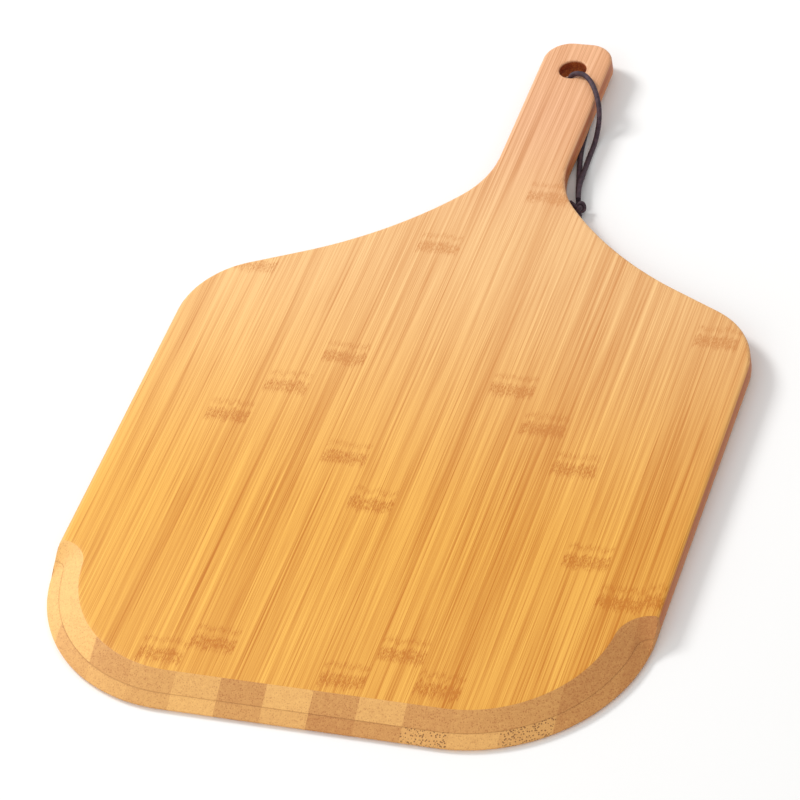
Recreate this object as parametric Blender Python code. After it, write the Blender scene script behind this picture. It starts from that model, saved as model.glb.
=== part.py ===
"""Bamboo pizza peel: two plies of edge-glued staves cut to a blade with a handle, and a leather lace.

Metres, +Z up. The origin is on the table under the middle of the peel, +Y runs towards the handle.
The peel rests on its front edge and on the lace that passes under the handle, so it is tilted a little.
"""

from math import asin, atan2, ceil, cos, dist, pi, radians, sin

import bmesh
import bpy
from mathutils import Matrix, Vector

# Blade and handle, in plan
BOARD_WIDTH = 0.305
BOARD_LENGTH = 0.504
FRONT_CORNER_RADIUS = 0.084
BLADE_SIDE_END = 0.262        # from the front edge to where the shoulders begin
SHOULDER_RADIUS = 0.046
SHOULDER_STRAIGHT = 0.028
BACK_RADIUS = 0.214           # long hollow curve behind each shoulder
NECK_RADIUS = 0.054
NECK_SWEEP = radians(40)      # turned by the neck's curve
HANDLE_WIDTH = 0.0384
HANDLE_END_RADIUS = 0.0145

# Hanging hole
HOLE_DIAMETER = 0.0151
HOLE_FROM_END = 0.023

# Thickness and edges
PLY_THICKNESS = 0.005
EDGE_ROUND = 0.002
FRONT_EDGE_THICKNESS = 0.002
BEVEL_RUN = 0.017             # width of the front bevel, in plan
BEVEL_END = 0.074             # how far up each side the bevel keeps its full depth

# Staves
STAVE_PITCH = 0.0231
CENTRE_SEAM = 0.0049          # the seam beside the middle line
NARROWEST_STAVE = 0.005
GLUE_LINE = 0.0003

# Lace
LACE_DIAMETER = 0.0028
LACE_STEP = 0.0065            # spacing of the points along the finished tube
CLEARANCE = 0.0003
LACE_LEAVES_AT = 0.425        # where the lower leg comes out from under the handle
KNOT_PLACE = (0.0310, 0.3790, 0.0040)
KNOT_SIZE = (0.0085, 0.0095, 0.0078)
TAIL_DIAMETER = 0.0024

# Finishes: base colour and roughness
HONEY = ((0.80, 0.49, 0.19), 0.45)
LIGHT = ((0.86, 0.58, 0.27), 0.45)
TAN = ((0.62, 0.38, 0.17), 0.5)
BROWN = ((0.50, 0.28, 0.12), 0.5)
LEATHER = ((0.05, 0.03, 0.05), 0.6)

# Facets
ARC_STEP = radians(7.5)
ROUND_SEGMENTS = 2
FACETS_ROUND_HOLE = 32
KNOT_SEGMENTS = 12
KNOT_RINGS = 8
ROUTE_STEPS = 24              # between two points of a route, before it is evened out

# Allowances
CUTTER_MARGIN = 0.004         # how far cutters and blocks pass the board
BEVEL_CUTTER_FOOT = 0.0002    # half width of the bevel cutter's narrow end
SAME_POINT = 0.00001
WELD = 0.000001
HALVINGS = 50

THICKNESS = 2 * PLY_THICKNESS
HALF_LENGTH = BOARD_LENGTH / 2
HANDLE_LIFT = LACE_DIAMETER + CLEARANCE
TILT = atan2(HANDLE_LIFT, LACE_LEAVES_AT - EDGE_ROUND)
HOLE_Y = BOARD_LENGTH - HOLE_FROM_END

# The lace's route, from the knot over the handle, down through the hole, under the handle and back to
# the knot: x, distance from the front edge, height above the table.
LACE_ROUTE = (
    (0.0293, 0.3850, 0.0047),
    (0.0280, 0.3902, 0.0047),
    (0.0268, 0.3965, 0.0046),
    (0.0259, 0.4055, 0.0037),
    (0.0248, 0.4150, 0.0020),
    (0.0242, 0.4250, 0.0014),
    (0.0241, 0.4340, 0.0018),
    (0.0241, 0.4405, 0.0040),
    (0.0238, 0.4470, 0.0078),
    (0.0223, 0.4535, 0.0122),
    (0.0190, 0.4605, 0.0152),
    (0.0143, 0.4685, 0.0154),
    (0.0092, 0.4740, 0.0154),
    (0.0048, 0.4753, 0.0154),
    (0.0011, 0.4756, 0.0135),
    (-0.0003, 0.4756, 0.0100),
    (-0.0003, 0.4756, 0.0066),
    (0.0010, 0.4756, 0.0035),
    (0.0045, 0.4753, 0.0016),
    (0.0094, 0.4735, 0.0014),
    (0.0136, 0.4672, 0.0014),
    (0.0155, 0.4570, 0.0014),
    (0.0165, 0.4460, 0.0014),
    (0.0176, 0.4350, 0.0014),
    (0.0190, 0.4250, 0.0014),
    (0.0206, 0.4175, 0.0014),
    (0.0221, 0.4110, 0.0014),
    (0.0237, 0.4045, 0.0014),
    (0.0255, 0.3970, 0.0014),
    (0.0273, 0.3905, 0.0014),
    (0.0288, 0.3858, 0.0014),
)

TAIL_ROUTES = (
    ((0.0300, 0.3795, 0.0040), (0.0273, 0.3815, 0.0036), (0.0251, 0.3840, 0.0028)),
    ((0.0315, 0.3785, 0.0030), (0.0325, 0.3750, 0.0020), (0.0332, 0.3718, 0.0014)),
)


def clear_scene():
    for thing in list(bpy.data.objects):
        bpy.data.objects.remove(thing, do_unlink=True)


def new_collection(name):
    collection = bpy.data.collections.new(name)
    bpy.context.scene.collection.children.link(collection)
    return collection


def material(name, colour_and_roughness):
    """A Principled material of one colour."""
    colour, roughness = colour_and_roughness
    made = bpy.data.materials.new(name)
    made.use_nodes = True
    shader = made.node_tree.nodes["Principled BSDF"]
    shader.inputs["Base Color"].default_value = (*colour, 1)
    shader.inputs["Roughness"].default_value = roughness
    shader.inputs["Metallic"].default_value = 0
    made.diffuse_color = (*colour, 1)
    return made


def add_mesh(name, mesh, collection, parent=None):
    thing = bpy.data.objects.new(name, mesh)
    collection.objects.link(thing)
    thing.parent = parent
    return thing


def as_guide(thing):
    """Cutters and guides are drawn as wire and are not part of the peel."""
    thing.hide_render = True
    thing.display_type = "WIRE"
    return thing


def arc(centre, radius, start, end):
    """Points on a circle from one angle to another, both included."""
    steps = max(2, ceil(abs(end - start) / ARC_STEP))
    angles = [start + (end - start) * i / steps for i in range(steps + 1)]
    return [(centre[0] + radius * cos(a), centre[1] + radius * sin(a)) for a in angles]


def back_width(turn):
    """How far the back of the blade comes in from the side to the handle, for a shoulder turn."""
    return (
        SHOULDER_RADIUS * (1 - cos(turn))
        + SHOULDER_STRAIGHT * sin(turn)
        + BACK_RADIUS * (cos(NECK_SWEEP) - cos(turn))
        + NECK_RADIUS * (1 - cos(NECK_SWEEP))
    )


def shoulder_turn():
    """The turn at which shoulder, hollow back and neck just reach the handle's side."""
    low, high = NECK_SWEEP, pi / 2
    for _ in range(HALVINGS):
        middle = (low + high) / 2
        if back_width(middle) < (BOARD_WIDTH - HANDLE_WIDTH) / 2:
            low = middle
        else:
            high = middle
    return (low + high) / 2


def right_half_outline():
    """From the flat of the front edge round to the flat of the handle's end."""
    half, turn = BOARD_WIDTH / 2, shoulder_turn()
    corner = FRONT_CORNER_RADIUS
    points = arc((half - corner, corner), corner, -pi / 2, 0)
    points += arc((half - SHOULDER_RADIUS, BLADE_SIDE_END), SHOULDER_RADIUS, 0, turn)
    x, y = points[-1]
    x -= SHOULDER_STRAIGHT * sin(turn)
    y += SHOULDER_STRAIGHT * cos(turn)
    for radius, start, end in ((BACK_RADIUS, turn, NECK_SWEEP), (NECK_RADIUS, NECK_SWEEP, 0)):
        centre = (x + radius * cos(start), y + radius * sin(start))
        points += arc(centre, radius, pi + start, pi + end)
        x, y = points[-1]
    end_centre = (HANDLE_WIDTH / 2 - HANDLE_END_RADIUS, BOARD_LENGTH - HANDLE_END_RADIUS)
    points += arc(end_centre, HANDLE_END_RADIUS, 0, pi / 2)
    return points


def outline():
    """The peel's whole outline, anticlockwise, with no point given twice."""
    right = right_half_outline()
    both = right + [(-x, y) for x, y in reversed(right)]
    kept = [both[0]]
    for point in both[1:]:
        if dist(point, kept[-1]) > SAME_POINT:
            kept.append(point)
    if dist(kept[0], kept[-1]) < SAME_POINT:
        kept.pop()
    return kept


def curve_to_mesh(thing, name, collection, parent):
    """A closed mesh object in place of the curve object, with its caps welded on."""
    graph = bpy.context.evaluated_depsgraph_get()
    mesh = bpy.data.meshes.new_from_object(thing.evaluated_get(graph))
    form = bmesh.new()
    form.from_mesh(mesh)
    bmesh.ops.remove_doubles(form, verts=form.verts, dist=WELD)
    bmesh.ops.recalc_face_normals(form, faces=form.faces)
    form.to_mesh(mesh)
    form.free()
    place = thing.matrix_world.copy()
    bpy.data.objects.remove(thing, do_unlink=True)
    made = add_mesh(name, mesh, collection, parent)
    made.matrix_parent_inverse = Matrix()
    made.matrix_local = place
    return made


def slab(collection, parent):
    """The uncut board: the outline extruded to the full thickness, its edges rounded."""
    curve = bpy.data.curves.new("board_outline", "CURVE")
    curve.dimensions = "2D"
    curve.fill_mode = "BOTH"
    curve.extrude = THICKNESS / 2 - EDGE_ROUND
    curve.bevel_depth = EDGE_ROUND
    curve.bevel_resolution = ROUND_SEGMENTS
    curve.offset = -EDGE_ROUND
    points = outline()
    spline = curve.splines.new("POLY")
    spline.points.add(len(points) - 1)
    for place, (x, y) in zip(spline.points, points):
        place.co = (x, y - HALF_LENGTH, 0, 1)
    spline.use_cyclic_u = True
    thing = bpy.data.objects.new("board_outline", curve)
    collection.objects.link(thing)
    thing.location.z = THICKNESS / 2
    bpy.context.view_layer.update()
    return as_guide(curve_to_mesh(thing, "uncut_board", collection, parent))


def bevel_path():
    """The front edge's line, up the left side, round both front corners and up the right side.

    Each entry is a point and the direction that faces away from the board there.
    """
    half, corner = BOARD_WIDTH / 2, FRONT_CORNER_RADIUS
    last = asin(min(BEVEL_END / corner, 1) - 1)
    steps = ceil((pi / 2 + last) / ARC_STEP)
    angles = [-pi / 2 + (pi / 2 + last) * i / steps for i in range(steps + 1)]
    away = [Vector((cos(a), sin(a))) for a in angles]
    right = [(Vector((half - corner, corner)) + corner * d, d) for d in away]
    if BEVEL_END > corner:
        right.append((Vector((half, BEVEL_END)), Vector((1, 0))))
    left = [(Vector((-p.x, p.y)), Vector((-d.x, d.y))) for p, d in reversed(right)]
    return left + right


def ring_round(path, reach):
    """The closed line at one distance from an open path, with round ends; the same count for any reach."""
    ring = [p + away * reach for p, away in path]
    ring += turn_round(path[-1][0], path[-1][1], reach)
    ring += [p - away * reach for p, away in reversed(path)]
    ring += turn_round(path[0][0], -path[0][1], reach)
    return ring


def fill_band(form, ring, path_count):
    """Faces across a closed line made by ring_round: one for each step of the path and one for each end."""
    turned = (len(ring) - 2 * path_count) // 2
    far = 2 * path_count + turned - 1
    for i in range(path_count - 1):
        form.faces.new((ring[i], ring[i + 1], ring[far - i - 1], ring[far - i]))
    form.faces.new(ring[path_count - 1 : path_count + turned + 1])
    form.faces.new([*ring[far:], ring[0]])


def turn_round(centre, start, reach):
    """Points of the half circle that closes one end, without its first and last."""
    steps = ceil(pi / ARC_STEP / 2)
    turned = (Matrix.Rotation(pi * i / steps, 2) @ start for i in range(1, steps))
    return [centre + reach * direction for direction in turned]


def bevel_cutter(collection, parent):
    """A loft between a narrow and a wide band round the front edge's line: what it holds is planed away."""
    path = bevel_path()
    slope = (THICKNESS - FRONT_EDGE_THICKNESS) / BEVEL_RUN
    rings = []
    for reach in (BEVEL_CUTTER_FOOT, BEVEL_RUN + CUTTER_MARGIN):
        height = FRONT_EDGE_THICKNESS + slope * reach
        rings.append([(p.x, p.y - HALF_LENGTH, height) for p in ring_round(path, reach)])
    form = bmesh.new()
    low, high = ([form.verts.new(p) for p in ring] for ring in rings)
    for i, j in zip(range(len(low)), [*range(1, len(low)), 0]):
        form.faces.new((low[i], low[j], high[j], high[i]))
    for ring in (low, high):
        fill_band(form, ring, len(path))
    bmesh.ops.recalc_face_normals(form, faces=form.faces)
    mesh = bpy.data.meshes.new("bevel_cutter")
    form.to_mesh(mesh)
    form.free()
    return as_guide(add_mesh("bevel_cutter", mesh, collection, parent))


def hole_cutter(collection, parent):
    form = bmesh.new()
    bmesh.ops.create_cone(
        form,
        cap_ends=True,
        segments=FACETS_ROUND_HOLE,
        radius1=HOLE_DIAMETER / 2,
        radius2=HOLE_DIAMETER / 2,
        depth=THICKNESS + 2 * CUTTER_MARGIN,
    )
    bmesh.ops.translate(form, vec=(0, HOLE_Y - HALF_LENGTH, THICKNESS / 2), verts=form.verts)
    mesh = bpy.data.meshes.new("hole_cutter")
    form.to_mesh(mesh)
    form.free()
    return as_guide(add_mesh("hole_cutter", mesh, collection, parent))


def boolean(thing, other, operation):
    cut = thing.modifiers.new(operation.lower() + "_" + other.name, "BOOLEAN")
    cut.object = other
    cut.operation = operation
    cut.solver = "EXACT"


def seams():
    """Where the stave seams lie across the board, the two sides included."""
    half = BOARD_WIDTH / 2
    inside = []
    position = CENTRE_SEAM - STAVE_PITCH * ceil(BOARD_WIDTH / STAVE_PITCH)
    while position < half - NARROWEST_STAVE:
        if position > -half + NARROWEST_STAVE:
            inside.append(position)
        position += STAVE_PITCH
    return [-half - CUTTER_MARGIN, *inside, half + CUTTER_MARGIN]


def stave(name, left, right, bottom, top, board, collection, parent, finish):
    """One strip of one ply: a block between its glue lines, cut to the board's shape."""
    form = bmesh.new()
    bmesh.ops.create_cube(form, size=1)
    size = (right - left - GLUE_LINE, BOARD_LENGTH + 2 * CUTTER_MARGIN, top - bottom)
    bmesh.ops.scale(form, vec=size, verts=form.verts)
    bmesh.ops.translate(form, vec=((left + right) / 2, 0, (bottom + top) / 2), verts=form.verts)
    mesh = bpy.data.meshes.new(name)
    form.to_mesh(mesh)
    form.free()
    mesh.materials.append(finish)
    thing = add_mesh(name, mesh, collection, parent)
    boolean(thing, board, "INTERSECT")
    return thing


def lay_up(board, collection, parent, finishes):
    """Two plies of staves with their seams in line, a glue line apart."""
    edges = seams()
    plies = {
        "lower": (-CUTTER_MARGIN, PLY_THICKNESS - GLUE_LINE / 2),
        "upper": (PLY_THICKNESS + GLUE_LINE / 2, THICKNESS + CUTTER_MARGIN),
    }
    for ply, (bottom, top) in plies.items():
        for i, (left, right) in enumerate(zip(edges, edges[1:])):
            name = f"{ply}_stave_{i + 1:02d}"
            finish = finishes[ply][i % 2]
            stave(name, left, right, bottom, top, board, collection, parent, finish)


def smooth_points(route, step):
    """Points at an even spacing along a smooth curve through the route's points."""
    dense = []
    ends = [2 * route[0] - route[1], *route, 2 * route[-1] - route[-2]]
    for a, b, c, d in zip(ends, ends[1:], ends[2:], ends[3:]):
        for k in range(ROUTE_STEPS):
            t = k / ROUTE_STEPS
            pull = (2 * a - 5 * b + 4 * c - d) * t * t + (3 * b - a - 3 * c + d) * t ** 3
            dense.append(b + ((c - a) * t + pull) / 2)
    dense.append(route[-1])
    length = sum((q - p).length for p, q in zip(dense, dense[1:]))
    count = max(2, round(length / step))
    points, gone, wanted = [dense[0]], 0.0, length / count
    for p, q in zip(dense, dense[1:]):
        piece = (q - p).length
        while gone + piece >= wanted * len(points) - WELD and len(points) < count:
            points.append(p.lerp(q, (wanted * len(points) - gone) / piece))
        gone += piece
    points.append(dense[-1])
    return points


def tube(name, route, diameter, step, collection, finish):
    """A round tube along a smooth curve through the route."""
    curve = bpy.data.curves.new(name, "CURVE")
    curve.dimensions = "3D"
    curve.bevel_depth = diameter / 2
    curve.bevel_resolution = ROUND_SEGMENTS
    curve.use_fill_caps = True
    places = smooth_points([Vector((x, y - HALF_LENGTH, z)) for x, y, z in route], step)
    spline = curve.splines.new("POLY")
    spline.points.add(len(places) - 1)
    for point, place in zip(spline.points, places):
        point.co = (*place, 1)
    curve.materials.append(finish)
    thing = bpy.data.objects.new(name, curve)
    collection.objects.link(thing)
    return thing


def knot(collection, cutters, finish):
    """The overhand knot as one plain lump, with its two cut tails joined on."""
    form = bmesh.new()
    bmesh.ops.create_uvsphere(form, u_segments=KNOT_SEGMENTS, v_segments=KNOT_RINGS, radius=0.5)
    bmesh.ops.scale(form, vec=KNOT_SIZE, verts=form.verts)
    mesh = bpy.data.meshes.new("lace_knot")
    form.to_mesh(mesh)
    form.free()
    mesh.materials.append(finish)
    thing = add_mesh("lace_knot", mesh, collection)
    thing.location = (KNOT_PLACE[0], KNOT_PLACE[1] - HALF_LENGTH, KNOT_PLACE[2])
    for i, route in enumerate(TAIL_ROUTES):
        tail = tube(f"tail_{i + 1}", route, TAIL_DIAMETER, LACE_STEP / 2, cutters, finish)
        bpy.context.view_layer.update()
        tail = as_guide(curve_to_mesh(tail, f"tail_{i + 1}", cutters, None))
        boolean(thing, tail, "UNION")
    return thing


def tilted_frame(collection):
    """The empty that carries the board, turned about the line where its underside meets the table."""
    frame = bpy.data.objects.new("board_frame", None)
    collection.objects.link(frame)
    contact = Vector((0, EDGE_ROUND - HALF_LENGTH, 0))
    turn = Matrix.Rotation(TILT, 4, "X")
    frame.matrix_world = Matrix.Translation(contact) @ turn @ Matrix.Translation(-contact)
    return frame


def main():
    clear_scene()
    peel = new_collection("pizza_peel")
    cutters = new_collection("peel_cutters")
    finishes = {
        "upper": (material("bamboo_honey", HONEY), material("bamboo_light", LIGHT)),
        "lower": (material("bamboo_tan", TAN), material("bamboo_brown", BROWN)),
    }
    leather = material("dark_leather", LEATHER)
    frame = tilted_frame(peel)
    bpy.context.view_layer.update()
    board = slab(cutters, frame)
    boolean(board, bevel_cutter(cutters, frame), "DIFFERENCE")
    boolean(board, hole_cutter(cutters, frame), "DIFFERENCE")
    lay_up(board, peel, frame, finishes)
    tube("lace_loop", LACE_ROUTE, LACE_DIAMETER, LACE_STEP, peel, leather)
    knot(peel, cutters, leather)


main()
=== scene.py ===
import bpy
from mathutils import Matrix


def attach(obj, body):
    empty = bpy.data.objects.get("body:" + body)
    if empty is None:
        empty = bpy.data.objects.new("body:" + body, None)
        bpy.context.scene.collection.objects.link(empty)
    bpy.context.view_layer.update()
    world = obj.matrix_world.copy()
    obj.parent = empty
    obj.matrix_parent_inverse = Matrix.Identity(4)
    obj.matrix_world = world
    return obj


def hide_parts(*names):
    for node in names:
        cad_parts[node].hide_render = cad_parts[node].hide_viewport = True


bl_info = {
    "name": "Bamboo pizza peel",
    "version": (1, 0, 0),
    "blender": (4, 5, 0),
    "location": "3D View > Sidebar > Peel",
    "description": "Glued bamboo staves, a leather lace and a plain studio, built over the packed frame",
    "category": "Add Mesh",
}

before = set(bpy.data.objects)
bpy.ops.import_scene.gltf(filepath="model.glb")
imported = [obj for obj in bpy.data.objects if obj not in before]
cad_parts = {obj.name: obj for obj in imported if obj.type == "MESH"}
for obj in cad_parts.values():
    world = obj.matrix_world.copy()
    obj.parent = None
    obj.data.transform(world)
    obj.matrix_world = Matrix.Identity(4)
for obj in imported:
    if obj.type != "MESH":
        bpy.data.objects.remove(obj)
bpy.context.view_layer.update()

from math import asin, atan2, ceil, cos, pi, radians, sin

import bpy
import numpy as np
from bpy.props import FloatProperty, FloatVectorProperty, PointerProperty
from mathutils import Matrix, Vector

# The board's sizes, in millimetres: x across, y from the front edge, z from the underside
HALF_WIDTH = 152.5
LENGTH = 504.0
HALF_LENGTH = LENGTH / 2
CORNER = 84.0
SIDE_END = 262.0
SHOULDER = 46.0
SHOULDER_STRAIGHT = 28.0
HOLLOW_BACK = 214.0
NECK = 54.0
NECK_SWEEP = radians(40)
HANDLE_HALF = 19.2
HANDLE_ROUND = 14.5
HOLE_RADIUS = 7.55
HOLE_Y = 481.0
PLY = 5.0
NOSE = 2.0
BEVEL_RUN = 17.0
BEVEL_END = 74.0
SEAMS = (-152.5, -133.7, -110.6, -87.5, -64.4, -41.3, -18.2, 4.9, 28.0, 51.1, 74.2, 97.3, 120.4, 143.5, 152.5)
GLUE_LEDGE = 0.15
BEVEL_TURN_X = 135.03  # where the bevel's top edge leaves the corner's arc

THICKNESS = 2 * PLY
SLOPE = (THICKNESS - NOSE) / BEVEL_RUN
PATH_ANGLE = asin(1 - BEVEL_END / CORNER)
ARC_X = HALF_WIDTH - CORNER
PATH_END = (ARC_X + CORNER * cos(PATH_ANGLE), CORNER - CORNER * sin(PATH_ANGLE))
TILT = atan2(3.1, 423.0)
CONTACT_Y = -250.0

# Tones of each stave from the left, 0 dark to 1 pale: on the face, on the bevel above and below the glue line
FACE_TONES = (0.78, 0.78, 0.50, 0.53, 0.44, 0.52, 0.64, 0.32, 0.58, 0.16, 0.42, 0.56, 0.28, 0.22)
UPPER_ENDS = (0.94, 0.93, 0.45, 0.56, 0.76, 0.36, 0.84, 0.38, 0.74, 0.38, 0.42, 0.40, 0.22, 0.10)
LOWER_ENDS = (0.92, 0.58, 0.70, 0.60, 0.86, 0.46, 0.70, 0.24, 0.36, 0.62, 0.74, 0.58, 0.28, 0.16)
# Staves of the lower ply whose cut ends show coarse pores
COARSE_STAVES = (10, 12)
# Where the culm's joints cross each stave, from the front edge, at most two to a stave
JOINTS = (
    (), (301,), (190,), (27, 215), (38, 240), (329, 170), (140,),
    (26, 376), (46, 230), (27, 205), (180,), (120,), (97, 280), (100,),
)
PAST_BOARD = 900  # stands for a joint that a stave doesn't have
LOWER_SHIFT = 5  # the lower ply takes its joints from the stave this many further on
UPPER_SEED, LOWER_SEED = 20, 50  # first of each ply's numbers for its grain

# Grid of a stave: rows along each stretch, and steps square to its edges, in millimetres
BEVEL_ROWS, BLADE_ROWS, HANDLE_ROWS, END_ROWS = 7, 60, 16, 6
EDGE_STEPS, RIM_STEPS = 6, 4
CREASE = (0.1, 0.3)
LEAST_COLUMNS, EXTRA_COLUMNS = 4, 5
STEEPEST = 12
END_SHARE, END_MOST = 0.42, 12
SHARP_FROM = radians(24)

# The lace's route: x, distance from the front edge, height above the table, in metres
LACE_ROUTE = (
    (0.0293, 0.3850, 0.0047),
    (0.0280, 0.3902, 0.0047),
    (0.0268, 0.3965, 0.0046),
    (0.0259, 0.4055, 0.0037),
    (0.0248, 0.4150, 0.0020),
    (0.0242, 0.4250, 0.0014),
    (0.0241, 0.4340, 0.0018),
    (0.0241, 0.4405, 0.0040),
    (0.0238, 0.4470, 0.0078),
    (0.0223, 0.4535, 0.0122),
    (0.0190, 0.4605, 0.0152),
    (0.0143, 0.4685, 0.0154),
    (0.0092, 0.4740, 0.0154),
    (0.0048, 0.4753, 0.0154),
    (0.0011, 0.4756, 0.0135),
    (-0.0003, 0.4756, 0.0100),
    (-0.0003, 0.4756, 0.0066),
    (0.0010, 0.4756, 0.0035),
    (0.0045, 0.4753, 0.0016),
    (0.0094, 0.4735, 0.0014),
    (0.0136, 0.4672, 0.0014),
    (0.0155, 0.4570, 0.0014),
    (0.0165, 0.4460, 0.0014),
    (0.0176, 0.4350, 0.0014),
    (0.0190, 0.4250, 0.0014),
    (0.0206, 0.4175, 0.0014),
    (0.0221, 0.4110, 0.0014),
    (0.0237, 0.4045, 0.0014),
    (0.0255, 0.3970, 0.0014),
    (0.0273, 0.3905, 0.0014),
    (0.0288, 0.3858, 0.0014),
)
TAIL_ROUTES = (
    ((0.0300, 0.3795, 0.0040), (0.0273, 0.3815, 0.0036), (0.0251, 0.3840, 0.0028)),
    ((0.0315, 0.3785, 0.0030), (0.0325, 0.3750, 0.0020), (0.0332, 0.3718, 0.0014)),
)
KNOT_PLACE = (0.0310, 0.3790, 0.0040)
KNOT_SIZE = (0.00098, 0.00112, 0.0014)
KNOT_STRAND = 0.0025
LACE_SPACING, TAIL_SPACING = 0.0011, 0.0006

# The camera, in the board's frame in metres: its place, its axes, its lens
CAMERA_PLACE = (0.62081, -1.40664, 1.38062)
CAMERA_RIGHT = (0.944027, 0.299097, -0.139121)
CAMERA_DOWN = (0.107744, -0.678196, -0.72694)
CAMERA_FORWARD = (-0.311777, 0.671261, -0.672461)
CAMERA_LENS = 183.27
FLOOR_REACH = 6.0
WORLD_LIGHT = 0.67


# ---------------------------------------------------------------- the board's outline


def back_width(turn):
    """How far the back comes in from the side to the handle, when the shoulder turns by this angle."""
    return (
        SHOULDER * (1 - cos(turn))
        + SHOULDER_STRAIGHT * sin(turn)
        + HOLLOW_BACK * (cos(NECK_SWEEP) - cos(turn))
        + NECK * (1 - cos(NECK_SWEEP))
    )


def shoulder_turn():
    """The angle at which the back just meets the handle's side, found by halving."""
    low, high = NECK_SWEEP, pi / 2
    for _ in range(50):
        middle = (low + high) / 2
        low, high = (middle, high) if back_width(middle) < HALF_WIDTH - HANDLE_HALF else (low, middle)
    return (low + high) / 2


def outline_arcs():
    """The right half's arcs, front to handle, as rows of centre x, centre y, radius, start and end angle."""
    turn = shoulder_turn()
    arcs = [(ARC_X, CORNER, CORNER, -pi / 2, 0.0), (HALF_WIDTH - SHOULDER, SIDE_END, SHOULDER, 0.0, turn)]
    x = HALF_WIDTH - SHOULDER * (1 - cos(turn)) - SHOULDER_STRAIGHT * sin(turn)
    y = SIDE_END + SHOULDER * sin(turn) + SHOULDER_STRAIGHT * cos(turn)
    for radius, start, end in ((HOLLOW_BACK, turn, NECK_SWEEP), (NECK, NECK_SWEEP, 0.0)):
        centre = (x + radius * cos(start), y + radius * sin(start))
        arcs.append((*centre, radius, pi + start, pi + end))
        x, y = centre[0] + radius * cos(pi + end), centre[1] + radius * sin(pi + end)
    arcs.append((HANDLE_HALF - HANDLE_ROUND, LENGTH - HANDLE_ROUND, HANDLE_ROUND, 0.0, pi / 2))
    return arcs


ARCS = outline_arcs()


def arc_points(row, count=400):
    """Points evenly round one arc: centre plus radius times the cosine and sine of the angle."""
    x, y, radius, start, end = row
    angle = np.linspace(start, end, count)
    return np.stack([x + radius * np.cos(angle), y + radius * np.sin(angle)], axis=1)


BACK = np.concatenate([arc_points(row) for row in ARCS[1:4]])[::-1]
NECK_Y = float(BACK[0, 1])


def to_outline(x, y):
    """Distance from points inside the board to its outline: the least over its arcs and straight lines."""
    across = np.abs(x)
    ends = [arc_points(row, 2) for row in ARCS]
    lines = [((0.0, 0.0), ends[0][0])]
    lines += [(before[1], after[0]) for before, after in zip(ends, ends[1:])]
    lines.append((ends[-1][1], (0.0, LENGTH)))
    least = np.full(across.shape, 1e9)
    for (ax, ay), (bx, by) in lines:
        run, rise = bx - ax, by - ay
        share = ((across - ax) * run + (y - ay) * rise) / max(run * run + rise * rise, 1e-12)
        share = np.clip(share, 0, 1)
        least = np.minimum(least, np.hypot(across - ax - share * run, y - ay - share * rise))
    for cx, cy, radius, start, end in ARCS:
        low, high = min(start, end), max(start, end)
        angle = np.mod(np.arctan2(y - cy, across - cx) - low, 2 * pi)
        gap = np.abs(np.hypot(across - cx, y - cy) - radius)
        least = np.where(angle <= high - low, np.minimum(least, gap), least)
    return least


def to_front(x, y):
    """Distance to the front edge's line, which runs round both front corners and a little up each side."""
    across = np.abs(x)
    angle = np.arctan2(y - CORNER, across - ARC_X)
    past_end = np.hypot(across - PATH_END[0], y - PATH_END[1])
    on_corner = CORNER - np.hypot(across - ARC_X, y - CORNER)
    corner = np.where((y < CORNER) & (angle <= -PATH_ANGLE), on_corner, past_end)
    return np.where(across <= ARC_X, y, corner)


def front_line(x, reach):
    """Where a column first is this far from the front edge's line: an arc inside the corner's, then one round
    the line's end, and never outside the board."""
    across = np.abs(x)
    off_centre = np.clip(across - ARC_X, 0, CORNER)
    board = CORNER - np.sqrt(CORNER**2 - off_centre**2)
    if reach == 0:
        return board
    inner = CORNER - reach
    arc = CORNER - np.sqrt(np.maximum(inner**2 - np.minimum(off_centre, inner) ** 2, 0))
    end = PATH_END[1] + np.sqrt(np.maximum(reach**2 - (PATH_END[0] - across) ** 2, 0))
    line = np.where(across <= ARC_X + inner * cos(PATH_ANGLE), arc, end)
    return np.maximum(line, board)


def back_line(x):
    """Where a column of the blade ends: read off the shoulder, hollow back and neck, or the neck's top."""
    return np.interp(np.abs(x), BACK[:, 0], BACK[:, 1])


def handle_line(x):
    """Where a column of the handle ends: the round of the handle's corner, then its flat end."""
    inward = np.clip(np.abs(x) - (HANDLE_HALF - HANDLE_ROUND), 0, HANDLE_ROUND)
    return LENGTH - HANDLE_ROUND + np.sqrt(HANDLE_ROUND**2 - inward**2)


# ---------------------------------------------------------------- heights


def rounding(distance, radius):
    """How far a rounded edge has dropped at a distance in: radius less a quarter circle's height."""
    inward = np.clip(radius - distance, 0, radius)
    return radius - np.sqrt(radius**2 - inward**2)


def soft_least(a, b, blend):
    """The lesser of two heights, with the corner between them rounded off over the blend."""
    share = np.clip(blend - np.abs(a - b), 0, None) / blend
    return np.minimum(a, b) - share * share * blend / 4


def heights(x, y, lower, upper, sizes):
    """Underside and top of one ply: flat, less the edge rounds, and cut by the slope of the front bevel."""
    edge = to_outline(x, y)
    rim = np.maximum(np.hypot(x, y - HOLE_Y) - HOLE_RADIUS, 0)
    face = THICKNESS - rounding(edge, sizes["edge"]) - rounding(rim, sizes["rim"])
    cut = NOSE + SLOPE * to_front(x, y)
    top = np.minimum(soft_least(face, cut, sizes["arris"]), upper)
    under = rounding(edge, sizes["under"]) + rounding(rim, sizes["rim"])
    return np.maximum(under, lower), top


# ---------------------------------------------------------------- grids


def spread(low, high, spacing):
    """Positions from low to high that crowd towards both ends, as a cosine does."""
    count = max(LEAST_COLUMNS, ceil((high - low) / spacing) + EXTRA_COLUMNS)
    return low + (high - low) * (1 - np.cos(np.linspace(0, pi, count))) / 2


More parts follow.
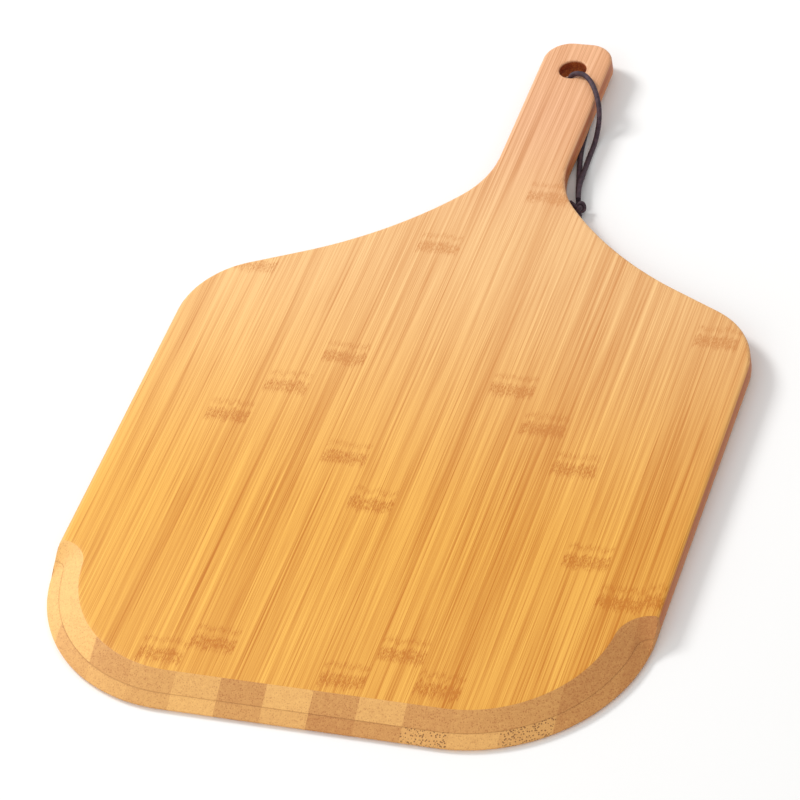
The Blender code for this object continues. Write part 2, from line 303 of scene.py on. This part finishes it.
def columns(left, right, spacing):
    """A stave's x positions: spread between each pair of the lines where the board's plan changes."""
    marks = (HALF_WIDTH, BEVEL_TURN_X, ARC_X, HANDLE_HALF, HOLE_RADIUS)
    stops = [left, *sorted(s * m for m in marks for s in (-1, 1) if left < s * m < right), right]
    parts = [spread(a, b, spacing)[:-1] for a, b in zip(stops, stops[1:])]
    return np.append(np.concatenate(parts), right)


def offsets(steps, x, line, room):
    """Distances in along each column that give the steps square to a sloping line, never past the room."""
    slope = np.gradient(line, x) if len(x) > 1 else np.zeros_like(x)
    stretch = np.sqrt(1 + np.clip(slope, -STEEPEST, STEEPEST) ** 2)
    share = (np.arange(len(steps)) + 1)[:, None] / len(steps)
    most = np.minimum(END_SHARE * room, END_MOST)[None]
    return np.minimum(np.array(steps)[:, None] * stretch, share * most)


def block(x, low, high, near, far, middle):
    """Rows from low to high in every column: stepped offsets at each end and even steps between."""
    room = high - low
    start = offsets(near, x, low, room) if near else np.zeros((0, len(x)))
    stop = offsets(far, x, high, room) if far else np.zeros((0, len(x)))
    first = low + (start[-1] if near else 0)
    last = high - (stop[-1] if far else 0)
    share = np.linspace(0, 1, middle + 1)[:, None]
    rows = [low[None]] if near else []
    rows += [low + start[:-1], first + (last - first) * share, high - stop[:-1][::-1]]
    rows += [high[None]] if far else []
    return np.concatenate(rows)


def join(*blocks):
    """Blocks of rows end to end, each shared row kept once."""
    return np.concatenate([blocks[0]] + [b[1:] for b in blocks[1:]])


def quads(shape, first):
    """Corner numbers of a grid's faces, anticlockwise seen from above."""
    number = first + np.arange(shape[0] * shape[1]).reshape(shape)
    corners = (number[:-1, :-1], number[:-1, 1:], number[1:, 1:], number[1:, :-1])
    return np.stack([c.ravel() for c in corners], axis=1)


def round_steps(radius, count):
    """Distances in from an edge that divide its quarter round evenly: radius less radius times the cosine."""
    return tuple(radius * (1 - cos(a)) for a in np.linspace(0, pi / 2, count + 1)[1:])


def plan(left, right, start_reach, crease_reach, sizes):
    """A stave's plan as points and faces: columns across, rows that follow the front edge, the bevel's top
    edge, the neck, the hole and the board's end."""
    x = columns(left, right, sizes["spacing"])
    curl = round_steps(sizes["edge"], EDGE_STEPS)
    on_handle = np.abs(x) <= HANDLE_HALF + 1e-6
    low, bend = front_line(x, start_reach), front_line(x, crease_reach)
    blade_end = np.where(on_handle, NECK_Y, back_line(x))
    near = curl if start_reach == 0 else CREASE
    front = block(x, low, bend, near, CREASE, BEVEL_ROWS)
    blade = block(x, bend, blade_end, CREASE, curl, BLADE_ROWS)
    grids = [(x, join(front, blade))]
    if on_handle.sum() > 1:
        h = x[on_handle]
        gap = np.sqrt(np.maximum(HOLE_RADIUS**2 - h**2, 0))
        neck = np.full_like(h, NECK_Y)
        rim = round_steps(sizes["rim"], RIM_STEPS)
        grids.append((h, block(h, neck, HOLE_Y - gap, (), rim, HANDLE_ROWS)))
        grids.append((h, block(h, HOLE_Y + gap, handle_line(h), rim, curl, END_ROWS)))
    points, faces, count = [], [], 0
    for across, rows in grids:
        wide = np.broadcast_to(across, rows.shape)
        points.append(np.stack([wide.ravel(), rows.ravel()], axis=1))
        faces.append(quads(rows.shape, count))
        count += rows.size
    return np.concatenate(points), np.concatenate(faces)


def welded(points, faces):
    """The plan with points that coincide made one, and faces that shrank to a line left out."""
    _, keep, number = np.unique(np.round(points, 4), axis=0, return_index=True, return_inverse=True)
    faces = number.reshape(-1)[faces]
    ordered = np.sort(faces, axis=1)
    different = 1 + (np.diff(ordered, axis=1) != 0).sum(axis=1)
    return points[keep], faces[different >= 3]


def rim_edges(faces):
    """Edges with a face on one side only, in that face's direction."""
    start, end = faces.ravel(), np.roll(faces, -1, axis=1).ravel()
    apart = start != end
    start, end = start[apart], end[apart]
    size = int(faces.max()) + 1
    alone = ~np.isin(start * size + end, end * size + start)
    return start[alone], end[alone]


def closed_faces(faces, count):
    """The plan's faces above, the same turned over below, and a wall along every edge between them."""
    a, b = rim_edges(faces)
    walls = np.stack([b, a, a + count, b + count], axis=1)
    return np.concatenate([faces, faces[:, ::-1] + count, walls])


def in_world(points):
    """Board millimetres to metres on the table, turned by the tilt about the line the board rests on."""
    x, y, z = points[:, 0], points[:, 1] - HALF_LENGTH - CONTACT_Y, points[:, 2]
    turned = [x, CONTACT_Y + y * cos(TILT) - z * sin(TILT), y * sin(TILT) + z * cos(TILT)]
    return np.stack(turned, axis=1) / 1000


def put_mesh(name, points, faces, finish, attributes=()):
    """An object with these points and faces; a face whose corners coincide becomes a triangle."""
    mesh = bpy.data.meshes.new(name)
    lists = [list(dict.fromkeys(face)) for face in faces.tolist()]
    mesh.from_pydata(points.tolist(), [], lists)
    for title, values in attributes:
        layer = mesh.attributes.new(title, "FLOAT_VECTOR", "POINT")
        layer.data.foreach_set("vector", np.ascontiguousarray(values, np.float32).ravel())
    mesh.polygons.foreach_set("use_smooth", np.ones(len(mesh.polygons), bool))
    mesh.set_sharp_from_angle(angle=SHARP_FROM)
    mesh.materials.append(finish)
    mesh.validate()
    thing = bpy.data.objects.new(name, mesh)
    bpy.context.scene.collection.objects.link(thing)
    return thing


def both(values):
    """The plan's values once for the top and once for the underside."""
    return np.concatenate([values, values])


def build_stave(name, index, ply, sizes, finish):
    """One strip of one ply. Each plan point is lifted to the ply's underside and top."""
    upper = ply == "upper"
    low, high = (PLY, THICKNESS) if upper else (0.0, PLY)
    start = (PLY + GLUE_LEDGE - NOSE) / SLOPE if upper else 0
    crease = BEVEL_RUN if upper else (PLY - NOSE) / SLOPE
    points, faces = welded(*plan(SEAMS[index], SEAMS[index + 1], start, crease, sizes))
    x, y = points.T
    under, top = heights(x, y, low, high, sizes)
    solid = np.concatenate([np.stack([x, y, top], axis=1), np.stack([x, y, under], axis=1)])
    face_tone = FACE_TONES[index] if upper else 0.5 * FACE_TONES[-index] + 0.2
    end_tone = (UPPER_ENDS if upper else LOWER_ENDS)[index]
    joints = JOINTS[index if upper else (index + LOWER_SHIFT) % len(JOINTS)]
    first, second = (*joints, PAST_BOARD, PAST_BOARD)[:2]
    seed = float(index + (UPPER_SEED if upper else LOWER_SEED))
    coarse = float(not upper and index + 1 in COARSE_STAVES)
    rim = np.hypot(x, y - HOLE_Y) - HOLE_RADIUS

    def over_all(value):
        return np.full(len(solid), value)

    attributes = (
        ("board", solid),
        ("edge", np.stack([both(to_front(x, y)), both(to_outline(x, y)), over_all(end_tone)], axis=1)),
        ("grain", np.stack([both(y - first), both(y - second), over_all(face_tone)], axis=1)),
        ("strip", np.stack([over_all(seed), both(rim), over_all(coarse)], axis=1)),
    )
    return put_mesh(name, in_world(solid), closed_faces(faces, len(x)), finish, attributes)


# ---------------------------------------------------------------- shader maths


class Wire:
    """One socket; arithmetic on it adds Math nodes."""

    def __init__(self, graph, socket):
        self.graph, self.socket = graph, socket

    def _math(self, operation, *values):
        return self.graph.math(operation, *values)

    def __add__(self, other):
        return self._math("ADD", self, other)

    __radd__ = __add__

    def __sub__(self, other):
        return self._math("SUBTRACT", self, other)

    def __rsub__(self, other):
        return self._math("SUBTRACT", other, self)

    def __mul__(self, other):
        return self._math("MULTIPLY", self, other)

    __rmul__ = __mul__


class Graph:
    """A material's nodes, made one at a time by type."""

    def __init__(self, name):
        self.material = bpy.data.materials.new(name)
        self.material.use_nodes = True
        self.tree = self.material.node_tree
        self.shader = self.tree.nodes["Principled BSDF"]

    def fill(self, socket, value):
        if isinstance(value, Wire):
            self.tree.links.new(value.socket, socket)
        elif value is not None:
            socket.default_value = value

    def node(self, kind, settings=None, inputs=None, output=0):
        """A node of this type: settings first, then its sockets' values or links."""
        made = self.tree.nodes.new(kind)
        for key, value in (settings or {}).items():
            setattr(made, key, value)
        for key, value in (inputs or {}).items():
            self.fill(made.inputs[key], value)
        return Wire(self, made.outputs[output])

    def math(self, operation, *values):
        return self.node("ShaderNodeMath", {"operation": operation}, dict(enumerate(values)))

    def fade(self, value, low, high):
        """0 below low, 1 above high and smooth between."""
        settings = {"interpolation_type": "SMOOTHSTEP"}
        return self.node("ShaderNodeMapRange", settings, {"Value": value, "From Min": low, "From Max": high})

    def clamp(self, value):
        return self.node("ShaderNodeClamp", {}, {"Value": value})

    def mix(self, factor, first, second):
        """Two colours mixed by a factor."""
        inputs = {0: factor, 6: first, 7: second}
        settings = {"data_type": "RGBA", "blend_type": "MIX", "clamp_factor": True}
        return self.node("ShaderNodeMix", settings, inputs, 2)

    def vector(self, x, y, z):
        return self.node("ShaderNodeCombineXYZ", {}, {"X": x, "Y": y, "Z": z})

    def attribute(self, name):
        """The three numbers of an attribute on the mesh."""
        made = self.node("ShaderNodeAttribute", {"attribute_name": name}, {}, "Vector")
        return [self.node("ShaderNodeSeparateXYZ", {}, {"Vector": made}, i) for i in range(3)]

    def noise(self, place, detail=2.0, roughness=0.5, scale=1.0):
        inputs = {"Vector": place, "Scale": scale, "Detail": detail, "Roughness": roughness}
        return self.node("ShaderNodeTexNoise", {"noise_dimensions": "3D"}, inputs)

    def finish(self, height=None, distance=0.0001, strength=1.0, **sockets):
        for key, value in sockets.items():
            self.fill(self.shader.inputs[key.replace("_", " ")], value)
        if height is not None:
            inputs = {"Height": height, "Distance": distance, "Strength": strength}
            self.fill(self.shader.inputs["Normal"], self.node("ShaderNodeBump", {}, inputs))
        return self.material


def rgb(colour):
    return (*colour[:3], 1.0)


def bamboo(name, look):
    """Split culms laid side by side: long fibres along y, a tone for each stave, joints across it, and on the
    bevel the cut ends of the fibres as dots."""
    g = Graph(name)
    x, y, z = g.attribute("board")
    reach, edge, end_tone = g.attribute("edge")
    first, second, face_tone = g.attribute("grain")
    strip, rim, coarse_ends = g.attribute("strip")
    sx = x + strip * 37.7
    sy = y + strip * 91.3

    # Fibres: noise drawn out along y, in four widths
    broad = g.noise(g.vector(sx * 0.15, sy * 0.0030, z * 0.15), 1.0)
    streak = g.noise(g.vector(sx * 0.60, sy * 0.0045, z * 0.60), 2.0, 0.6)
    fibre = g.noise(g.vector(sx * 1.75, sy * 0.0085, z * 1.75), 2.0, 0.6)
    hair = g.noise(g.vector(sx * 4.6, sy * 0.02, z * 4.6), 1.0)
    lines = None
    for pitch, drift, width, start in ((1.05, 0.0030, 0.050, 40.0), (1.6, 0.0042, 0.040, 90.0)):
        course = g.noise(g.vector(sx * pitch, sy * drift, z * pitch + start), 1.0, 0.4)
        line = 1.0 - g.fade(g.math("ABSOLUTE", course - 0.5), 0.0, width)
        lines = line if lines is None else g.math("MAXIMUM", lines, line * 0.8)
    grain = (streak - 0.5) * 1.0 + (fibre - 0.5) * 1.5 + (hair - 0.5) * 1.0 + (broad - 0.5) * 0.8
    grain = grain + 0.14 - lines * 0.42

    # Joints: a wavy band where the fibres break into short dashes
    wave = g.noise(g.vector(sx * 0.32, strip, sy * 0.02), 2.0)
    jag = g.noise(g.vector(sx * 2.1, strip, sy * 0.02), 1.0)
    speck = g.noise(g.vector(sx * 2.0, sy * 0.42, z * 2.0), 2.0, 0.7)
    band = None
    for offset in (first, second):
        away = offset + (wave - 0.5) * 8.0 + (jag - 0.5) * 11.0
        near = g.fade(away, -6.5, -3.0) * (1.0 - g.fade(away, 2.5, 4.0))
        near = g.math("MAXIMUM", near, (1.0 - g.fade(g.math("ABSOLUTE", away - 8.5), 0.6, 2.2)) * 0.6)
        band = near if band is None else g.math("MAXIMUM", band, near)
    dashes = band * g.fade(speck, 0.44, 0.58)
    halo = band * 0.26

    tone = g.clamp(face_tone * 0.50 + 0.30 + grain * look.contrast - dashes * 0.55 - halo * 0.5)
    blade = g.mix(tone, rgb(look.deep), rgb(look.pale))
    handle = g.mix(tone, rgb(look.deep_back), rgb(look.pale_back))
    grip = g.mix(tone, rgb(look.deep_grip), rgb(look.pale_grip))
    face = g.mix(g.fade(y, 110.0, 370.0), blade, handle)
    face = g.mix(g.fade(y, 330.0, 450.0), face, grip)

    # Cut ends: dots of the fibre bundles on a mottled ground, open pores on the coarse staves
    cells = g.node(
        "ShaderNodeTexVoronoi",
        {"feature": "F1"},
        {"Vector": g.vector(sx * 0.95, y * 0.75, z * 1.15), "Scale": 1.0, "Randomness": 0.9},
        "Distance",
    )
    pores = 1.0 - g.fade(cells, 0.14, 0.44)
    ground = g.noise(g.vector(sx * 0.35, y * 0.35, z * 0.9), 3.0, 0.6)
    speckle = g.noise(g.vector(sx * 2.2, y * 2.2, z * 2.2), 2.0, 0.7)
    cut_tone = g.clamp(end_tone * 0.88 + 0.02 + (ground - 0.5) * 0.45 + (speckle - 0.5) * 0.75 - pores * 0.30)
    cut = g.mix(cut_tone, rgb(look.end_dark), rgb(look.end_pale))
    open_pores = (1.0 - g.fade(cells, 0.24, 0.44)) * coarse_ends
    cut = g.mix(open_pores * 0.85, cut, rgb(look.pore))

    # Long sides: grain, redder above and paler towards the underside; this gradient is painted shade under
    # the top edge and painted bounce light from the table near the underside
    side_grain_and_shade = g.clamp(0.15 + grain * 0.9 + g.fade(z, 6.5, 0.5) * 0.75)
    side = g.mix(side_grain_and_shade, rgb(look.side_shaded), rgb(look.side_bounce_lit))

    below = g.fade(10.0 - z, 0.35, 2.0)
    on_side = below * (1.0 - g.fade(edge, 0.1, 1.2))
    body = g.mix(on_side, face, side)
    # Hole's wall: its own colours, with the same painted shade above and painted bounce light towards the
    # underside as the long sides
    in_hole = g.fade(10.0 - z, 0.3, 1.6) * (1.0 - g.fade(rim, 0.05, 0.6))
    body = g.mix(in_hole, body, g.mix(side_grain_and_shade, rgb(look.bored_dark), rgb(look.bored_pale)))
    on_bevel = 1.0 - g.fade(reach, 16.85, 17.05)
    under = 1.0 - g.fade(z, 0.02, 0.3)
    colour = g.mix(on_bevel * (1.0 - under), body, cut)

    # Dark hairlines: the glue line between the plies, and painted shade along the bevel's top edge, where the
    # bevel meets the face
    dark_hairline = 1.0 - g.fade(g.math("ABSOLUTE", z - 5.05), 0.06, 0.20)
    # Painted shade in the crease just below the bevel's top edge
    arris = 1.0 - g.fade(g.math("ABSOLUTE", reach - 17.0), 0.05, 0.40)
    colour = g.mix(g.clamp(dark_hairline * 0.22 + arris * 0.30 * below), colour, rgb(look.dark_hairline))

    rough = g.clamp(look.roughness + (fibre - 0.5) * 0.18 + dashes * 0.12 + on_bevel * 0.12)
    relief = (fibre - 0.5) * 0.7 + (hair - 0.5) * 0.3 - dashes * 0.5 - on_bevel * pores * 0.8
    return g.finish(
        height=relief,
        distance=0.00008,
        strength=0.6,
        Base_Color=colour,
        Roughness=rough,
        Metallic=0.0,
        Specular_IOR_Level=0.28,
    )


def leather(name, look):
    """A round-cut lace: nearly black, with a fine pebbled grain and dull scuffs."""
    g = Graph(name)
    place = g.node("ShaderNodeTexCoord", {}, {}, "Object")
    pebble = g.node(
        "ShaderNodeTexVoronoi",
        {"feature": "F1"},
        {"Vector": place, "Scale": 2600.0},
        "Distance",
    )
    scuff = g.noise(place, 3.0, 0.6, 420.0)
    colour = g.mix(g.fade(scuff, 0.35, 0.75), rgb(look.lace_dark), rgb(look.lace_pale))
    rough = g.clamp(0.72 + (scuff - 0.5) * 0.35)
    return g.finish(
        height=pebble + scuff * 0.6,
        distance=0.00012,
        strength=0.5,
        Base_Color=colour,
        Roughness=rough,
        Metallic=0.0,
    )


# ---------------------------------------------------------------- lace


def smooth_route(route, spacing):
    """Points evenly along a Catmull-Rom curve through the route, as (count, 3) metres."""
    spots = np.array([(x, y - HALF_LENGTH / 1000, z) for x, y, z in route])
    padded = np.concatenate([[2 * spots[0] - spots[1]], spots, [2 * spots[-1] - spots[-2]]])
    a, b, c, d = (padded[i : len(padded) - 3 + i, None] for i in range(4))
    t = (np.arange(40) / 40)[None, :, None]
    pull = (2 * a - 5 * b + 4 * c - d) * t * t + (3 * b - a - 3 * c + d) * t**3
    dense = (b + ((c - a) * t + pull) / 2).reshape(-1, 3)
    dense = np.concatenate([dense, spots[-1:]])
    gone = np.concatenate([[0], np.cumsum(np.linalg.norm(np.diff(dense, axis=0), axis=1))])
    wanted = np.linspace(0, gone[-1], max(3, round(gone[-1] / spacing) + 1))
    return np.stack([np.interp(wanted, gone, dense[:, i]) for i in range(3)], axis=1), gone[-1]


def add_strand(curve, places, closed=False):
    """One poly spline of a curve through these places."""
    spline = curve.splines.new("POLY")
    spline.points.add(len(places) - 1)
    spline.points.foreach_set("co", np.column_stack([places, np.ones(len(places))]).ravel())
    spline.use_cyclic_u = closed
    spline.use_smooth = True


def strand_object(name, strands, diameter, finish):
    """A curve object whose strands are round tubes with closed ends."""
    curve = bpy.data.curves.new(name, "CURVE")
    curve.dimensions = "3D"
    curve.bevel_depth = diameter / 2
    curve.bevel_resolution = 5
    curve.use_fill_caps = True
    for places, closed in strands:
        add_strand(curve, places, closed)
    curve.materials.append(finish)
    thing = bpy.data.objects.new(name, curve)
    bpy.context.scene.collection.objects.link(thing)
    return thing


def overhand(centre, size):
    """A trefoil: x = sin t + 2 sin 2t, y = cos t - 2 cos 2t, z = -sin 3t, scaled and put at the centre."""
    t = np.linspace(0, 2 * pi, 120, endpoint=False)
    shape = np.stack([np.sin(t) + 2 * np.sin(2 * t), np.cos(t) - 2 * np.cos(2 * t), -np.sin(3 * t)], axis=1)
    return np.array(centre) + shape * np.array(size)


# ---------------------------------------------------------------- settings


class PeelSizes(bpy.types.PropertyGroup):
    edge_round: FloatProperty(
        name="Edge round", description="Radius of the round along the top edge", default=0.0019, unit="LENGTH"
    )
    under_round: FloatProperty(
        name="Underside round", description="Radius along the bottom edge", default=0.0016, unit="LENGTH"
    )
    rim_round: FloatProperty(
        name="Hole round", description="Radius round the hanging hole's rims", default=0.0008, unit="LENGTH"
    )
    arris: FloatProperty(
        name="Bevel arris", description="How softly the bevel meets the face", default=0.0002, unit="LENGTH"
    )
    spacing: FloatProperty(
        name="Column spacing", description="Widest step between columns", default=0.0016, unit="LENGTH"
    )
    lace: FloatProperty(
        name="Lace", description="Diameter of the leather lace", default=0.0028, unit="LENGTH"
    )


def colour_property(title, words, default):
    return FloatVectorProperty(
        name=title, description=words, default=default, size=3, min=0.0, max=1.0, subtype="COLOR"
    )


class PeelLook(bpy.types.PropertyGroup):
    deep: colour_property("Deep honey", "Darkest fibres of the blade's face", (0.57, 0.185, 0.011))
    pale: colour_property("Pale honey", "Lightest fibres of the blade's face", (0.94, 0.50, 0.090))
    deep_back: colour_property("Deep back", "Darkest fibres of the blade's back", (0.67, 0.30, 0.10))
    pale_back: colour_property("Pale back", "Lightest fibres of the blade's back", (0.95, 0.60, 0.28))
    deep_grip: colour_property("Deep handle", "Darkest fibres of the handle", (0.62, 0.265, 0.11))
    pale_grip: colour_property("Pale handle", "Lightest fibres of the handle", (0.90, 0.51, 0.29))
    end_dark: colour_property("Dark end grain", "Darkest cut ends on the bevel", (0.49, 0.19, 0.055))
    end_pale: colour_property("Pale end grain", "Lightest cut ends on the bevel", (0.96, 0.55, 0.175))
    # Side colours: the dark one is painted shade on the upper part of the long sides, the pale one painted
    # bounce light near the underside
    side_shaded: colour_property("Dark side", "Upper part of the long sides", (0.40, 0.105, 0.03))
    side_bounce_lit: colour_property("Pale side", "Long sides near the underside", (0.62, 0.245, 0.095))
    # Bore colours, mixed like the sides' by grain, painted shade above and painted bounce light towards the
    # underside
    bored_dark: colour_property("Dark bore", "Darkest fibres in the hole", (0.25, 0.036, 0.010))
    bored_pale: colour_property("Pale bore", "Lightest fibres in the hole", (0.66, 0.20, 0.04))
    pore: colour_property("Pores", "Open pores of the coarse cut ends", (0.22, 0.09, 0.03))
    # Colour of the glue line between the plies, also used for the painted shade along the bevel's top edge
    dark_hairline: colour_property("Glue", "Glue lines", (0.20, 0.085, 0.03))
    lace_dark: colour_property("Lace", "Leather of the lace", (0.030, 0.012, 0.022))
    lace_pale: colour_property("Lace scuffs", "Rubbed places on the lace", (0.095, 0.048, 0.064))
    contrast: FloatProperty(name="Grain contrast", description="Strength of the fibres", default=0.9)
    roughness: FloatProperty(name="Roughness", description="Roughness of the oiled face", default=0.46)


def sizes_in_mm(settings):
    found = {"edge": settings.edge_round, "under": settings.under_round, "rim": settings.rim_round}
    found |= {"arris": settings.arris, "spacing": settings.spacing}
    return {key: value * 1000 for key, value in found.items()}


# ---------------------------------------------------------------- operators


def add_ply(context, ply):
    """Every stave of one ply, each standing for its CAD node."""
    sizes, look = sizes_in_mm(context.scene.peel_sizes), context.scene.peel_look
    finish = bamboo(f"{ply}_bamboo", look)
    for index in range(len(SEAMS) - 1):
        piece = build_stave(f"{ply}_strip_{index + 1:02d}", index, ply, sizes, finish)
        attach(piece, "root")
        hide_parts(f"{ply}_stave_{index + 1:02d}")


class PEEL_OT_upper_ply(bpy.types.Operator):
    """Add the upper ply's staves"""

    bl_idname = "peel.upper_ply"
    bl_label = "Upper ply"

    def execute(self, context):
        add_ply(context, "upper")
        return {"FINISHED"}


class PEEL_OT_lower_ply(bpy.types.Operator):
    """Add the lower ply's staves"""

    bl_idname = "peel.lower_ply"
    bl_label = "Lower ply"

    def execute(self, context):
        add_ply(context, "lower")
        return {"FINISHED"}


class PEEL_OT_lace(bpy.types.Operator):
    """Add the leather lace and its knot"""

    bl_idname = "peel.lace"
    bl_label = "Lace"

    def execute(self, context):
        diameter = context.scene.peel_sizes.lace
        finish = leather("lace_leather", context.scene.peel_look)
        places, length = smooth_route(LACE_ROUTE, LACE_SPACING)
        lace = strand_object("leather_lace", [(places, False)], diameter, finish)
        centre = (KNOT_PLACE[0], KNOT_PLACE[1] - HALF_LENGTH / 1000, KNOT_PLACE[2])
        strands = [(overhand(centre, KNOT_SIZE), True)]
        strands += [(smooth_route(route, TAIL_SPACING)[0], False) for route in TAIL_ROUTES]
        knot = strand_object("tied_knot", strands, KNOT_STRAND, finish)
        for piece, node in ((lace, "lace_loop"), (knot, "lace_knot")):
            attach(piece, "root")
            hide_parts(node)
        return {"FINISHED"}


def plain_material(name, colour, roughness):
    g = Graph(name)
    return g.finish(Base_Color=rgb(colour), Roughness=roughness)


def area_light(name, place, size, power):
    """A white square soft light at a place, facing the middle of the floor."""
    light = bpy.data.lights.new(name, "AREA")
    light.shape = "SQUARE"
    light.size, light.energy = size, power
    thing = bpy.data.objects.new(name, light)
    bpy.context.scene.collection.objects.link(thing)
    thing.location = place
    thing.rotation_euler = (-Vector(place)).to_track_quat("-Z", "Y").to_euler()
    return thing


class PEEL_OT_stage(bpy.types.Operator):
    """Add the floor, the lights and the camera"""

    bl_idname = "peel.stage"
    bl_label = "Stage"

    def execute(self, context):
        scene = context.scene
        corners = np.array([(-1, -1, 0), (1, -1, 0), (1, 1, 0), (-1, 1, 0)]) * FLOOR_REACH
        paint = plain_material("pale_floor", (0.95, 0.945, 0.935), 0.9)
        floor = put_mesh("pale_floor", corners, np.array([[0, 1, 2, 3]]), paint)
        area_light("key", (-1.9, 0.85, 1.5), 0.7, 42)
        area_light("fill", (-0.6, -2.4, 1.3), 2.0, 14)
        world = bpy.data.worlds.new("studio")
        world.use_nodes = True
        world.node_tree.nodes["Background"].inputs["Color"].default_value = (1, 1, 1, 1)
        world.node_tree.nodes["Background"].inputs["Strength"].default_value = WORLD_LIGHT
        scene.world = world
        scene.view_settings.view_transform = "Standard"
        camera = bpy.data.cameras.new("camera")
        camera.lens, camera.sensor_width = CAMERA_LENS, 36.0
        camera.clip_start, camera.clip_end = 0.01, 100.0
        thing = bpy.data.objects.new("camera", camera)
        scene.collection.objects.link(thing)
        right, down, forward = Vector(CAMERA_RIGHT), Vector(CAMERA_DOWN), Vector(CAMERA_FORWARD)
        turn = Matrix((right, -down, -forward)).transposed().to_4x4()
        contact = Vector((0, CONTACT_Y / 1000, 0))
        tilt = Matrix.Translation(contact) @ Matrix.Rotation(TILT, 4, "X") @ Matrix.Translation(-contact)
        thing.matrix_world = tilt @ Matrix.Translation(CAMERA_PLACE) @ turn
        scene.camera = thing
        return {"FINISHED"}


class PEEL_PT_panel(bpy.types.Panel):
    """The peel's pieces and settings"""

    bl_idname = "PEEL_PT_panel"
    bl_label = "Pizza peel"
    bl_space_type = "VIEW_3D"
    bl_region_type = "UI"
    bl_category = "Peel"

    def draw(self, context):
        for settings in (context.scene.peel_sizes, context.scene.peel_look):
            for key in settings.__annotations__:
                self.layout.prop(settings, key)
        for name in OPERATORS:
            self.layout.operator(name)


OPERATORS = ("peel.upper_ply", "peel.lower_ply", "peel.lace", "peel.stage")
CLASSES = (
    PeelSizes,
    PeelLook,
    PEEL_OT_upper_ply,
    PEEL_OT_lower_ply,
    PEEL_OT_lace,
    PEEL_OT_stage,
    PEEL_PT_panel,
)


def register():
    for item in CLASSES:
        bpy.utils.register_class(item)
    bpy.types.Scene.peel_sizes = PointerProperty(type=PeelSizes)
    bpy.types.Scene.peel_look = PointerProperty(type=PeelLook)


def unregister():
    del bpy.types.Scene.peel_look
    del bpy.types.Scene.peel_sizes
    for item in reversed(CLASSES):
        bpy.utils.unregister_class(item)


def main():
    register()
    bpy.ops.peel.stage()
    bpy.ops.peel.lace()
    bpy.ops.peel.upper_ply()
    bpy.ops.peel.lower_ply()


if __name__ == "__main__":
    main()
